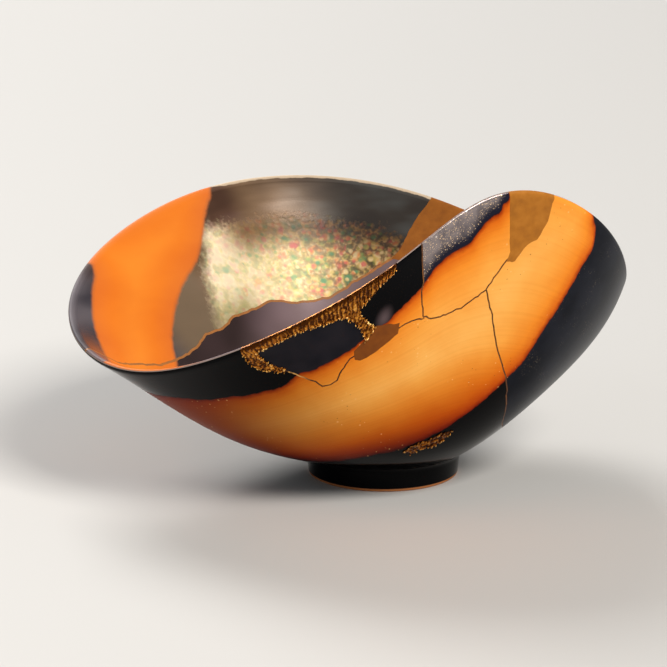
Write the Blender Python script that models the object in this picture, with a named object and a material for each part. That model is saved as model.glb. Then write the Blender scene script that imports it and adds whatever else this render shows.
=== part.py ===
"""A thin thrown bowl, warped in the firing, broken and mended with lacquer and gold.

The bowl is drawn flat first, on a round template: its foot is in the middle and its lip is the outer
circle. There the blank is spun, cut along the cracks into shards, and the joints and fills are cut from the
same blank. Every piece is then bent over the same warped form, so neighbours still meet face to face.
+X is the bowl's right-hand end, +Y its back. The origin is on the table, under the middle of the whole bowl.
"""

import math

import bmesh
import bpy
import numpy as np

MM = 0.001

# The form, measured at compass stations every 30 degrees from +X towards +Y, about the foot's axis.
RIM_RADIUS = (69.5, 76.5, 77.5, 80.5, 86.5, 86.5, 90.5, 83.0, 73.5, 63.0, 57.0, 64.0)
RIM_HEIGHT = (60.5, 48.0, 57.5, 69.0, 71.0, 64.0, 49.5, 40.5, 53.0, 73.5, 90.5, 83.0)
SLOPE_AT_FOOT = (30, 29, 27, 25, 20, 15, 8, 6, 12, 24, 31, 32)
SLOPE_AT_RIM = (75, 70, 64, 57, 49, 39, 34, 33, 43, 62, 73, 77)
STATION_STEP = 30.0
CURVE_HANDLE = 0.36
MERIDIAN_STEPS = 40

# The template: reach 100 is the lip, and the wall starts to rise at the foot's edge.
LIP_REACH = 100.0
FOOT_REACH = 24.0
UNDERSIDE_HEIGHT = 7.5
BEND_BLEND = 9.0

# The wall and the foot ring, seen in section.
FLOOR_THICKNESS = 4.4
RIM_THICKNESS = 1.7
WALL_TAPER = 0.75
FILLET_THICKNESS = 0.8
FILLET_REACH = 25.0
FILLET_WIDTH = 9.0
LIP_ROUND = 0.5
WALL_RINGS = 8
SPIN_STEPS = 84
FOOT_SECTION = (
    (22.9, -0.7), (22.2, -1.8), (21.6, -6.9), (21.2, -7.5), (18.9, -7.5), (18.5, -6.9), (17.4, -2.9),
)
FOOT_RECESS = 2.3
RECESS_DOME = 0.2

# The mends: a joint is a line of lacquer with a hair's gap on either side.
GAP = 0.36
LACQUER = 0.42
JOINT = LACQUER + 2 * GAP
GOLD_PROUD = 0.4
CHIP_DEPTH = 1.3
CUTTER_HEIGHT = 30.0
OUTER_SKIN = 0.05
SHARP_ANGLE = 35.0
BEYOND_LIP = 105.0

# Cracks and fills on the template, as (compass degrees, reach).
CRACK_BACK = (
    (198, BEYOND_LIP), (195, 88), (187, 77.5), (179.5, 69.5), (174.5, 66.5), (168, 64), (162, 63),
    (155, 64), (147, 62.5), (141, 64), (129, 64), (124.5, 65), (116, 63), (105.5, 64), (96, 70),
    (87, 77.5), (79, 86),
)
CRACK_RIGHT = (
    (310, 89), (307.6, 84.6), (303.5, 80), (301.5, 77.5), (302.5, 75), (304.5, 71), (306.5, 66),
    (309, 61.5), (313.5, 56.5), (316.5, 53), (321.5, 47), (329.5, 40.5), (344, 37), (0, 40), (18, 44),
    (34, 52), (46, 61), (58, 70), (66.5, 81), (70, 88),
)
CRACK_RIM_RIGHT = ((280.8, 78.6), (282.5, 77), (286.5, 75.5), (293.5, 75), (301.5, 77.5))
CRACK_RIM_MIDDLE = (
    (278, BEYOND_LIP), (279, 96), (280, 88), (279.5, 86), (280, 82), (281, 77.8), (277, 79.5), (271, 80),
)
CRACK_RIM_LEFT = (
    (242.2, 87.2), (244.3, 84.8), (247.5, 80), (250.5, 76), (252, 73.3), (254, 72.8), (256, 73.3),
    (257.5, 76), (260, 78.8), (265, 79.5),
)
FILL_RIM = (
    (303.5, BEYOND_LIP), (305, 98), (306, 93), (307.5, 86), (307, 83.5), (309.5, 83.5), (312.5, 87.5),
    (315.5, 89), (316.5, 91.5), (317.5, 94), (317.8, 98), (319, BEYOND_LIP),
)
FILL_WEDGE = (
    (261, 77.5), (261, 80.5), (263, 81.8), (264.5, 82.4), (265.5, 83.4), (267, 84.8), (270, 83), (273.5, 81),
    (273, 78.3), (268, 76.8), (262.5, 76.3),
)
FILL_BACK = (
    (78, BEYOND_LIP), (78, 99), (80.5, 93), (82.5, 88), (84.5, 81), (87, 77.5), (80, 78.5), (73, 80),
    (66, 82), (63, 88), (60, 93), (61, BEYOND_LIP),
)
GOLD_RIM = (
    (237.9, BEYOND_LIP), (248, BEYOND_LIP), (258, BEYOND_LIP), (266, BEYOND_LIP), (272.4, BEYOND_LIP),
    (272, 98.6), (271.2, 98), (268.1, 97), (265.4, 95), (263.7, 93.9), (263.1, 92.4), (264, 89.9),
    (265, 87.6), (266.5, 85.4), (265.3, 83.6), (264.2, 83), (263.5, 85), (263, 87.2), (262.2, 89.2),
    (261.1, 91.2), (260.2, 93.2), (258.6, 94.3), (255.9, 95.1), (253.2, 96.2), (250.6, 96.9),
    (247.9, 97.1), (245.1, 96.9), (242.3, 96.7), (240.7, 95.9), (240.9, 93.8), (241.3, 91.6),
    (242, 89.2), (243.4, 86.9), (244.7, 85.2), (244, 84.2), (242.4, 85.6), (240.7, 87.5),
    (239.1, 89.6), (238.2, 92.8),
)
CHIP_FOOT = (
    (278.5, 36.8), (282, 35.2), (286, 36.2), (291, 36.4), (296, 38.4), (298.5, 41), (294, 41), (286, 39.2),
    (281, 38.6),
)
HALF_GAP = GAP / 2
SHARPEST_CORNER = 0.4

# Each shard is the part of the broken blank that lies under this place.
SHARDS = {
    "bowl_body": (250, 50),
    "shard_back": (150, 85),
    "shard_right": (350, 70),
    "shard_rim_left": (252, 85),
    "shard_rim_middle": (273, 90),
    "shard_rim_right": (295, 88),
}

for old in list(bpy.data.objects):
    bpy.data.objects.remove(old, do_unlink=True)


def around(stations, degrees):
    """A closed smooth curve through the compass stations, read at these angles."""
    count = len(stations)
    half = count // 2
    turn = np.radians(degrees[:, None] - np.arange(count) * STATION_STEP)
    weight = 1 + 2 * sum(np.cos(k * turn) for k in range(1, half)) + np.cos(half * turn)
    return weight @ np.array(stations, float) / count


def meridians(degrees):
    """For each angle, the wall's outer curve from foot to lip: its radii, heights, slopes and distances."""
    radius = around(RIM_RADIUS, degrees)
    height = around(RIM_HEIGHT, degrees)
    low = np.radians(around(SLOPE_AT_FOOT, degrees))
    high = np.radians(around(SLOPE_AT_RIM, degrees))
    handle = CURVE_HANDLE * np.hypot(radius - FOOT_REACH, height - UNDERSIDE_HEIGHT)
    t = np.linspace(0, 1, MERIDIAN_STEPS)
    a, b, c, d = (1 - t) ** 3, 3 * t * (1 - t) ** 2, 3 * t * t * (1 - t), t ** 3

    def bezier(start, end, push, pull):
        return start * (a + b) + np.outer(push, b) + np.outer(end, c + d) - np.outer(pull, c)

    r = bezier(FOOT_REACH, radius, handle * np.cos(low), handle * np.cos(high))
    z = bezier(UNDERSIDE_HEIGHT, height, handle * np.sin(low), handle * np.sin(high))
    steps = np.hypot(np.diff(r), np.diff(z))
    along = np.concatenate([np.zeros((len(degrees), 1)), np.cumsum(steps, axis=1)], axis=1)
    slope = np.arctan2(np.gradient(z, axis=1), np.gradient(r, axis=1))
    return r, z, slope, along


def bend(flat):
    """Template points (x, y, height above the wall's outer face), bent over the warped form."""
    degrees = np.degrees(np.arctan2(flat[:, 1], flat[:, 0]))
    reach = np.hypot(flat[:, 0], flat[:, 1])
    r, z, slope, along = meridians(degrees)
    distance = np.clip((reach - FOOT_REACH) / (LIP_REACH - FOOT_REACH), 0, None) * along[:, -1]
    row = np.arange(len(flat))
    k = np.clip((along <= distance[:, None]).sum(axis=1) - 1, 0, MERIDIAN_STEPS - 2)
    part = (distance - along[row, k]) / (along[row, k + 1] - along[row, k])
    r, z, slope = (table[row, k] + part * (table[row, k + 1] - table[row, k]) for table in (r, z, slope))
    slope = slope * np.clip(distance / BEND_BLEND, 0, 1)
    radius = np.where(reach > FOOT_REACH, r, reach) - flat[:, 2] * np.sin(slope)
    height = z + flat[:, 2] * np.cos(slope)
    turn = np.radians(degrees)
    return np.column_stack([radius * np.cos(turn), radius * np.sin(turn), height])


def polar(points):
    """Template points given as (compass degrees, reach), in x and y."""
    turn = np.radians([p[0] for p in points])
    reach = np.array([p[1] for p in points], float)
    return np.column_stack([reach * np.cos(turn), reach * np.sin(turn)])


def sideways(points, towards):
    """Template steps to the left of these directions that measure 1 mm on the bent wall."""
    step = 0.5
    columns = []
    for axis in ((step, 0), (0, step)):
        ends = [np.column_stack([points + sign * np.array(axis), np.zeros(len(points))]) for sign in (1, -1)]
        columns.append((bend(ends[0]) - bend(ends[1])) / (2 * step))
    jacobian = np.stack(columns, axis=2)
    metric = np.einsum("nij,nik->njk", jacobian, jacobian)
    left = np.column_stack([-towards[:, 1], towards[:, 0]])
    normal = np.linalg.solve(metric, left[:, :, None])[:, :, 0]
    return normal / np.sqrt(np.einsum("ni,nij,nj->n", normal, metric, normal))[:, None]


def moved(points, distance, closed):
    """A template line moved to its left by a real distance, with its corners kept sharp."""
    ahead = np.roll(points, -1, axis=0) - points
    behind = points - np.roll(points, 1, axis=0)
    if not closed:
        ahead[-1] = behind[-1]
        behind[0] = ahead[0]
    after = sideways(points, ahead)
    before = sideways(points, behind)
    middle = after + before
    length = np.linalg.norm(middle, axis=1) / 2 / np.sqrt(
        np.linalg.norm(after, axis=1) * np.linalg.norm(before, axis=1)
    )
    return points + distance * middle / 2 / np.clip(length, SHARPEST_CORNER, 1)[:, None] ** 2


def ribbon(crack, width):
    """The outline of a crack opened to this width."""
    line = polar(crack)
    return np.concatenate([moved(line, width / 2, False), moved(line, -width / 2, False)[::-1]])


def grown(outline, distance):
    """A closed outline grown outwards, or shrunk by a negative distance."""
    loop = polar(outline)
    x, y = loop.T
    anticlockwise = (x * np.roll(y, -1) - y * np.roll(x, -1)).sum() > 0
    return moved(loop, -distance if anticlockwise else distance, True)


def mesh_object(name, bm):
    mesh = bpy.data.meshes.new(name)
    bm.to_mesh(mesh)
    bm.free()
    obj = bpy.data.objects.new(name, mesh)
    bpy.context.scene.collection.objects.link(obj)
    return obj


def cutter(outline, high=CUTTER_HEIGHT):
    """An upright block with this outline on the template, from well below the bowl up to this height."""
    bm = bmesh.new()
    base = bm.faces.new([bm.verts.new((x * MM, y * MM, -CUTTER_HEIGHT * MM)) for x, y in outline])
    risen = bmesh.ops.extrude_face_region(bm, geom=[base])["geom"]
    lifted = [v for v in risen if isinstance(v, bmesh.types.BMVert)]
    bmesh.ops.translate(bm, verts=lifted, vec=(0, 0, (high + CUTTER_HEIGHT) * MM))
    bmesh.ops.recalc_face_normals(bm, faces=bm.faces)
    return mesh_object("cutter", bm)


def combined(obj, block, operation):
    """The object's mesh after one Boolean with the block, which is used up."""
    step = obj.modifiers.new(operation.title(), "BOOLEAN")
    step.operation = operation
    step.object = block
    step.solver = "EXACT"
    evaluated = obj.evaluated_get(bpy.context.evaluated_depsgraph_get())
    mesh = bpy.data.meshes.new_from_object(evaluated)
    obj.modifiers.remove(step)
    obj.data = mesh
    bpy.data.objects.remove(block, do_unlink=True)


def wall_thickness(reach):
    """Thick at the floor, with a little extra over the foot ring, and thin at the lip."""
    share = max(0.0, (reach - FOOT_REACH) / (LIP_REACH - FOOT_REACH))
    fillet = FILLET_THICKNESS * math.exp(-(((reach - FILLET_REACH) / FILLET_WIDTH) ** 2))
    return FLOOR_THICKNESS + (RIM_THICKNESS - FLOOR_THICKNESS) * share ** WALL_TAPER + fillet


def blank():
    """The uncut bowl on the template: its section spun about the foot's axis."""
    rise = LIP_REACH - LIP_ROUND - FOOT_REACH
    rings = [FOOT_REACH + rise * k / WALL_RINGS for k in range(WALL_RINGS + 1)]
    inside = [(reach, wall_thickness(reach)) for reach in [0, FOOT_REACH / 2] + rings]
    lip = [(LIP_REACH, RIM_THICKNESS / 2)]
    outside = [(reach, 0.0) for reach in reversed(rings)]
    underside = list(FOOT_SECTION) + [(FOOT_REACH / 2, -FOOT_RECESS - RECESS_DOME), (0, -FOOT_RECESS)]
    bm = bmesh.new()
    section = [bm.verts.new((reach * MM, 0, up * MM)) for reach, up in inside + lip + outside + underside]
    edges = [bm.edges.new(pair) for pair in zip(section, section[1:])]
    bmesh.ops.spin(
        bm, geom=section + edges, cent=(0, 0, 0), axis=(0, 0, 1), angle=math.tau, steps=SPIN_STEPS,
        use_merge=True,
    )
    bmesh.ops.remove_doubles(bm, verts=bm.verts, dist=0.001 * MM)
    bmesh.ops.recalc_face_normals(bm, faces=bm.faces)
    return mesh_object("blank", bm)


def middle_of(obj):
    """The middle, in plan, of the box around the bent bowl."""
    placed = bend(np.array([v.co[:] for v in obj.data.vertices]) / MM)
    middle = (placed.min(axis=0) + placed.max(axis=0)) / 2
    return np.array([middle[0], middle[1], 0.0])


def copy_of(obj):
    twin = obj.copy()
    twin.data = obj.data.copy()
    bpy.context.scene.collection.objects.link(twin)
    return twin


def island_at(obj, place):
    """The loose part of the mesh that lies under a template point."""
    target = polar([place])[0] * MM
    bm = bmesh.new()
    bm.from_mesh(obj.data)
    nearest = min(bm.verts, key=lambda v: math.hypot(v.co.x - target[0], v.co.y - target[1]))
    kept = {nearest}
    front = [nearest]
    while front:
        for edge in front.pop().link_edges:
            for v in edge.verts:
                if v not in kept:
                    kept.add(v)
                    front.append(v)
    bmesh.ops.delete(bm, geom=[v for v in bm.verts if v not in kept], context="VERTS")
    return mesh_object("island", bm)


def finish(obj, name, material, proud=0.0):
    """Bends the flat piece into place, shades it smooth and gives it its name and material."""
    bm = bmesh.new()
    bm.from_mesh(obj.data)
    bmesh.ops.triangulate(bm, faces=bm.faces)
    flat = np.array([v.co[:] for v in bm.verts]) / MM
    outer = (flat[:, 2] < OUTER_SKIN) & (np.hypot(flat[:, 0], flat[:, 1]) > FOOT_REACH)
    flat[outer, 2] -= proud
    for v, place in zip(bm.verts, bend(flat)):
        v.co = (place - CENTRE) * MM
    bm.to_mesh(obj.data)
    bm.free()
    obj.name = name
    obj.data.name = name
    obj.data.materials.clear()
    obj.data.materials.append(material)
    obj.data.shade_smooth()
    obj.data.set_sharp_from_angle(angle=math.radians(SHARP_ANGLE))
    return obj


def material(name, colour, roughness, metallic=0.0):
    made = bpy.data.materials.new(name)
    made.use_nodes = True
    shader = made.node_tree.nodes["Principled BSDF"]
    shader.inputs["Base Color"].default_value = (*colour, 1)
    shader.inputs["Roughness"].default_value = roughness
    shader.inputs["Metallic"].default_value = metallic
    made.diffuse_color = (*colour, 1)
    return made


ORANGE_GLAZE = material("orange glaze", (0.62, 0.22, 0.05), 0.35)
BLACK_GLAZE = material("black glaze", (0.012, 0.013, 0.02), 0.22)
LUSTRE_GLAZE = material("lustre glaze", (0.16, 0.13, 0.15), 0.28, 0.6)
GOLD = material("gold", (0.62, 0.36, 0.1), 0.32, 1.0)
OCHRE_LACQUER = material("ochre lacquer", (0.33, 0.16, 0.035), 0.5)
BROWN_LACQUER = material("brown lacquer", (0.14, 0.05, 0.02), 0.4)

whole = blank()
CENTRE = middle_of(whole)

# Every crack and fill is taken out of one copy of the blank, which falls apart into the shards.
broken = copy_of(whole)
CRACKS = (CRACK_BACK, CRACK_RIGHT, CRACK_RIM_RIGHT, CRACK_RIM_MIDDLE, CRACK_RIM_LEFT)
FILLS = (FILL_RIM, FILL_WEDGE, FILL_BACK, GOLD_RIM)
for crack in CRACKS:
    combined(broken, cutter(ribbon(crack, JOINT)), "DIFFERENCE")
for outline in FILLS:
    combined(broken, cutter(grown(outline, HALF_GAP)), "DIFFERENCE")

GLAZE_OF = {
    "shard_back": LUSTRE_GLAZE,
    "shard_rim_left": BLACK_GLAZE,
    "shard_rim_middle": BLACK_GLAZE,
    "shard_rim_right": LUSTRE_GLAZE,
}
for name, place in SHARDS.items():
    shard = island_at(broken, place)
    if name == "bowl_body":
        combined(shard, cutter(polar(CHIP_FOOT), high=CHIP_DEPTH), "DIFFERENCE")
    finish(shard, name, GLAZE_OF.get(name, ORANGE_GLAZE))
bpy.data.objects.remove(broken, do_unlink=True)

# The fills are the same outlines, shrunk to leave the gap.
for name, outline, look, proud in (
    ("lacquer_fill_rim", FILL_RIM, OCHRE_LACQUER, 0.0),
    ("lacquer_fill_wedge", FILL_WEDGE, OCHRE_LACQUER, 0.0),
    ("lacquer_fill_back", FILL_BACK, OCHRE_LACQUER, 0.0),
    ("gold_fill_rim", GOLD_RIM, GOLD, GOLD_PROUD),
):
    fill = copy_of(whole)
    combined(fill, cutter(grown(outline, -HALF_GAP)), "INTERSECT")
    finish(fill, name, look, proud)

chip = copy_of(whole)
combined(chip, cutter(grown(CHIP_FOOT, -GAP), high=CHIP_DEPTH - GAP), "INTERSECT")
finish(chip, "gold_fill_foot", GOLD)

# The lacquer lines: each network of cracks is one piece, cut short of the fills that it runs into.
for name, cracks in (
    ("lacquer_joint_back", (CRACK_BACK,)),
    ("lacquer_joint_right", (CRACK_RIGHT, CRACK_RIM_RIGHT, CRACK_RIM_MIDDLE)),
    ("lacquer_joint_left", (CRACK_RIM_LEFT,)),
):
    network = cutter(ribbon(cracks[0], LACQUER))
    for crack in cracks[1:]:
        combined(network, cutter(ribbon(crack, LACQUER)), "UNION")
    line = copy_of(whole)
    combined(line, network, "INTERSECT")
    for outline in FILLS:
        combined(line, cutter(grown(outline, HALF_GAP)), "DIFFERENCE")
    finish(line, name, BROWN_LACQUER)

bpy.data.objects.remove(whole, do_unlink=True)
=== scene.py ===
import math

import bmesh
import bpy
import numpy as np
from mathutils import Matrix, Vector, noise


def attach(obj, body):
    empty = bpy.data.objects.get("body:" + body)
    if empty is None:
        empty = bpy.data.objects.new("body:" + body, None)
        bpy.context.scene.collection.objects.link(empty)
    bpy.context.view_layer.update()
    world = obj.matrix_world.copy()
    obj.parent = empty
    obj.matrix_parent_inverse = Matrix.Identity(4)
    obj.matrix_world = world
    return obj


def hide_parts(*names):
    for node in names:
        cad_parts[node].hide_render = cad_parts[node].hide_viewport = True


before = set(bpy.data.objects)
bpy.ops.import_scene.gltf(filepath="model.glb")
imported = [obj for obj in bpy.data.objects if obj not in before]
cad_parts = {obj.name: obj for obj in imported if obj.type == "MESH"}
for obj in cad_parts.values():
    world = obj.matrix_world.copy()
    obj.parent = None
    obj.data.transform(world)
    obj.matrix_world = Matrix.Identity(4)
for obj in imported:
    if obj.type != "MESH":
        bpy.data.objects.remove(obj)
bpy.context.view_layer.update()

# The thrown bowl.
# One stoneware bowl, thrown thin on a turned foot and warped in the kiln, so that its rim dips and soars. It
# is drawn flat on a round template, in millimetres, cut there, and bent over the warped form piece by piece.
MM = 0.001
# Twelve stations round the compass, anticlockwise from the right: the lip, and the wall's slopes in degrees.
RIM_RADIUS = (69.5, 76.5, 77.5, 80.5, 86.5, 86.5, 90.5, 83.0, 73.5, 63.0, 57.0, 64.0)
RIM_HEIGHT = (60.5, 48.0, 57.5, 69.0, 71.0, 64.0, 49.5, 40.5, 53.0, 73.5, 90.5, 83.0)
SLOPE_AT_FOOT = (30, 29, 27, 25, 20, 15, 8, 6, 12, 24, 31, 32)
SLOPE_AT_RIM = (75, 70, 64, 57, 49, 39, 34, 33, 43, 62, 73, 77)
STATION_STEP = 30.0
CURVE_HANDLE = 0.36
MERIDIAN_STEPS = 48
LIP_REACH = 100.0
FOOT_REACH = 24.0
UNDERSIDE_HEIGHT = 7.5
BEND_BLEND = 9.0
FLOOR_THICKNESS = 4.4
RIM_THICKNESS = 1.7
WALL_TAPER = 0.75
FILLET_THICKNESS = 0.8
FILLET_REACH = 25.0
FILLET_WIDTH = 9.0
LIP_ROUND = 1.5
LIP_STEPS = 10
WALL_RINGS = 54
FLOOR_RINGS = 8
SPIN_STEPS = 336
MERGED = 0.001
FOOT_SECTION = (
    (23.4, -0.25), (22.9, -0.7), (22.4, -1.4), (22.2, -2.2), (21.7, -6.8), (21.5, -7.3), (21.1, -7.5),
    (19.0, -7.5), (18.7, -7.3), (18.5, -6.9), (17.6, -3.4), (16.9, -2.8),
)
FOOT_RECESS = 2.3
RECESS_DOME = 0.2
FOOT_FACE = 0.0004

foot_points = [v.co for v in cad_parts["bowl_body"].data.vertices if v.co.z < FOOT_FACE]
FOOT_X = (min(p.x for p in foot_points) + max(p.x for p in foot_points)) / 2
FOOT_Y = (min(p.y for p in foot_points) + max(p.y for p in foot_points)) / 2


def around(stations, degrees):
    """A closed smooth curve through the compass stations, read at these angles."""
    count = len(stations)
    half = count // 2
    turn = np.radians(degrees[:, None] - np.arange(count) * STATION_STEP)
    weight = 1 + 2 * sum(np.cos(k * turn) for k in range(1, half)) + np.cos(half * turn)
    return weight @ np.array(stations, float) / count


def meridians(degrees):
    """For each angle, the wall's outer curve from foot to lip: radii, heights, slopes and distances."""
    radius = around(RIM_RADIUS, degrees)
    height = around(RIM_HEIGHT, degrees)
    low = np.radians(around(SLOPE_AT_FOOT, degrees))
    high = np.radians(around(SLOPE_AT_RIM, degrees))
    handle = CURVE_HANDLE * np.hypot(radius - FOOT_REACH, height - UNDERSIDE_HEIGHT)
    t = np.linspace(0, 1, MERIDIAN_STEPS)
    a, b, c, d = (1 - t) ** 3, 3 * t * (1 - t) ** 2, 3 * t * t * (1 - t), t ** 3

    def bezier(start, end, push, pull):
        return start * (a + b) + np.outer(push, b) + np.outer(end, c + d) - np.outer(pull, c)

    r = bezier(FOOT_REACH, radius, handle * np.cos(low), handle * np.cos(high))
    z = bezier(UNDERSIDE_HEIGHT, height, handle * np.sin(low), handle * np.sin(high))
    steps = np.hypot(np.diff(r), np.diff(z))
    along = np.concatenate([np.zeros((len(degrees), 1)), np.cumsum(steps, axis=1)], axis=1)
    slope = np.arctan2(np.gradient(z, axis=1), np.gradient(r, axis=1))
    return r, z, slope, along


def compass_and_reach(flat):
    """The compass degrees, from -180 to 180, and the reach of these template points."""
    return np.degrees(np.arctan2(flat[:, 1], flat[:, 0])), np.hypot(flat[:, 0], flat[:, 1])


def bend(flat):
    """Template points (x, y, height above the wall's outer face), bent over the warped form."""
    degrees, reach = compass_and_reach(flat)
    r, z, slope, along = meridians(degrees)
    distance = np.clip((reach - FOOT_REACH) / (LIP_REACH - FOOT_REACH), 0, None) * along[:, -1]
    row = np.arange(len(flat))
    k = np.clip((along <= distance[:, None]).sum(axis=1) - 1, 0, MERIDIAN_STEPS - 2)
    part = (distance - along[row, k]) / (along[row, k + 1] - along[row, k])
    r, z, slope = (table[row, k] + part * (table[row, k + 1] - table[row, k]) for table in (r, z, slope))
    slope = slope * np.clip(distance / BEND_BLEND, 0, 1)
    radius = np.where(reach > FOOT_REACH, r, reach) - flat[:, 2] * np.sin(slope)
    height = z + flat[:, 2] * np.cos(slope)
    turn = np.radians(degrees)
    return np.column_stack([radius * np.cos(turn), radius * np.sin(turn), height])


def polar(points):
    """Template points given as (compass degrees, reach), in x and y."""
    turn = np.radians([p[0] for p in points])
    reach = np.array([p[1] for p in points], float)
    return np.column_stack([reach * np.cos(turn), reach * np.sin(turn)])


def wall_thickness(reach):
    share = np.clip((reach - FOOT_REACH) / (LIP_REACH - FOOT_REACH), 0, None)
    fillet = FILLET_THICKNESS * np.exp(-(((reach - FILLET_REACH) / FILLET_WIDTH) ** 2))
    return FLOOR_THICKNESS + (RIM_THICKNESS - FLOOR_THICKNESS) * share ** WALL_TAPER + fillet


def mesh_object(name, bm):
    mesh = bpy.data.meshes.new(name)
    bm.to_mesh(mesh)
    bm.free()
    obj = bpy.data.objects.new(name, mesh)
    bpy.context.scene.collection.objects.link(obj)
    return obj


def blank():
    """The uncut bowl on the template: its profile spun about the foot's axis."""
    rise = LIP_REACH - LIP_ROUND - FOOT_REACH
    rings = [FOOT_REACH + rise * k / WALL_RINGS for k in range(WALL_RINGS + 1)]
    floor = [FOOT_REACH * k / FLOOR_RINGS for k in range(FLOOR_RINGS)]
    inside = [(reach, float(wall_thickness(np.array(reach)))) for reach in floor + rings]
    half = RIM_THICKNESS / 2
    angles = [math.pi / 2 - math.pi * k / LIP_STEPS for k in range(1, LIP_STEPS)]
    lip = [(LIP_REACH - LIP_ROUND + LIP_ROUND * math.cos(a), half + half * math.sin(a)) for a in angles]
    outside = [(reach, 0.0) for reach in reversed(rings)]
    under = [(FOOT_REACH / 2, -FOOT_RECESS - RECESS_DOME), (0, -FOOT_RECESS)]
    profile = inside + lip + outside + list(FOOT_SECTION) + under
    bm = bmesh.new()
    verts = [bm.verts.new((reach * MM, 0, up * MM)) for reach, up in profile]
    edges = [bm.edges.new(pair) for pair in zip(verts, verts[1:])]
    bmesh.ops.spin(
        bm, geom=verts + edges, cent=(0, 0, 0), axis=(0, 0, 1), angle=math.tau, steps=SPIN_STEPS,
        use_merge=True,
    )
    bmesh.ops.remove_doubles(bm, verts=bm.verts, dist=MERGED * MM)
    bmesh.ops.recalc_face_normals(bm, faces=bm.faces)
    return mesh_object("blank", bm)


whole = blank()

# The breaks.
# The bowl broke into three large shards and three small ones along the front rim. Each crack is a line on
# the template, opened to a hair's width, and it wanders a little as a fracture in fired clay does.
LINE_GAP = 0.02
LACQUER_WIDTH = 0.4
BACK_LINE_WIDTH = 0.75
BEYOND_LIP = 105.0
SHARPEST_CORNER = 0.4
CUTTER_HEIGHT = 30.0
WANDER_STEP = 1.2
WANDER = 0.16
BENDS = ((0.45, 3.0), (0.45, 13.0))
KINKS = ((1.6, 8.0), (1.6, 18.0))
PROBE = 0.5
CRACK_BACK = (
    (198, BEYOND_LIP), (195, 88), (187, 77.5), (179.5, 69.5), (174.5, 66.5), (168, 64), (162, 63),
    (155, 64), (147, 62.5), (141, 64), (129, 64), (124.5, 65), (116, 63), (105.5, 64), (96, 70),
    (87, 77.5), (79, 86),
)
CRACK_RIGHT = (
    (310, 89), (307.6, 84.6), (303.5, 80), (301.5, 77.5), (302.5, 75), (304.5, 71), (306.5, 66),
    (309, 61.5), (313.5, 56.5), (316.5, 53), (321.5, 47), (329.5, 40.5), (344, 37), (0, 40), (18, 44),
    (34, 52), (46, 61), (58, 70), (66.5, 81), (70, 88),
)
CRACK_RIM_RIGHT = ((280.8, 78.6), (282.5, 77), (286.5, 75.5), (293.5, 75), (301.5, 77.5))
CRACK_RIM_MIDDLE = (
    (278, BEYOND_LIP), (279, 96), (280, 88), (279.5, 86), (280, 82), (281, 77.8), (277, 79.5), (271, 80),
)
CRACK_RIM_LEFT = (
    (242.2, 87.2), (244.3, 84.8), (247.5, 80), (250.5, 76), (252, 73.3), (254, 72.8), (256, 73.3),
    (257.5, 76), (260, 78.8), (265, 79.5),
)
FILL_RIM = (
    (303.5, BEYOND_LIP), (305, 98), (306, 93), (307.5, 86), (307, 83.5), (309.5, 83.5), (312.5, 87.5),
    (315.5, 89), (316.5, 91.5), (317.5, 94), (317.8, 98), (319, BEYOND_LIP),
)
FILL_WEDGE = (
    (261, 77.5), (261, 80.5), (263, 81.8), (264.5, 82.4), (265.5, 83.4), (267, 84.8), (270, 83), (273.5, 81),
    (273, 78.3), (268, 76.8), (262.5, 76.3),
)
FILL_BACK = (
    (78, BEYOND_LIP), (78, 99), (80.5, 93), (82.5, 88), (84.5, 81), (87, 77.5), (80, 78.5), (73, 80),
    (66, 82), (63, 88), (60, 93), (61, BEYOND_LIP),
)
GOLD_RIM = (
    (237.9, BEYOND_LIP), (248, BEYOND_LIP), (258, BEYOND_LIP), (266, BEYOND_LIP), (272.4, BEYOND_LIP),
    (272, 98.6), (271.2, 98), (268.1, 97), (265.4, 95), (263.7, 93.9), (263.1, 92.4), (264, 89.9),
    (265, 87.6), (266.9, 84.4), (265.6, 82.9), (264.3, 82), (263.5, 85), (263, 87.2), (262.2, 89.2),
    (261.1, 91.2), (260.2, 93.2), (258.6, 94.3), (255.9, 95.1), (253.2, 96.2), (250.6, 96.9),
    (247.9, 97.1), (245.1, 96.9), (242.3, 96.7), (240.7, 95.9), (240.9, 93.8), (241.3, 91.6),
    (242, 89.2), (243.4, 86.9), (244.7, 85.2), (244, 84.2), (242.4, 85.6), (240.7, 87.5),
    (239.1, 89.6), (238.2, 92.8),
)
CHIP_FOOT = (
    (278.5, 36.8), (282, 35.2), (286, 36.2), (291, 36.4), (296, 38.4), (298.5, 41), (294, 41), (286, 39.2),
    (281, 38.6),
)
CHIP_DEPTH = 1.3
LOST = (FILL_RIM, FILL_WEDGE, FILL_BACK, GOLD_RIM)
NETWORKS = (
    ("lacquer_joint_back", BACK_LINE_WIDTH, (CRACK_BACK,)),
    ("lacquer_joint_right", LACQUER_WIDTH, (CRACK_RIGHT, CRACK_RIM_RIGHT, CRACK_RIM_MIDDLE)),
    ("lacquer_joint_left", LACQUER_WIDTH, (CRACK_RIM_LEFT,)),
)


def noise_at(point, pattern):
    """A smooth noise from -1 to 1 at a template point; its pattern is how fine it is, and which layer."""
    fineness, layer = pattern
    return noise.noise(Vector((point[0] * fineness, point[1] * fineness, layer)))


def wandering(points, closed):
    """A template line with more points, each pushed a little aside as a fracture wanders."""
    ends = np.roll(points, -1, axis=0) if closed else points[1:]
    dense = []
    for start, end in zip(points, ends):
        steps = max(1, round(float(np.hypot(*(end - start))) / WANDER_STEP))
        for k in range(steps):
            place = start + (end - start) * k / steps
            bend_push = [noise_at(place, pattern) for pattern in BENDS]
            kink_push = [noise_at(place, pattern) for pattern in KINKS]
            dense.append(place + WANDER * (2 * np.array(bend_push) + np.array(kink_push)))
    if not closed:
        dense.append(points[-1])
    return np.array(dense)


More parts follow.
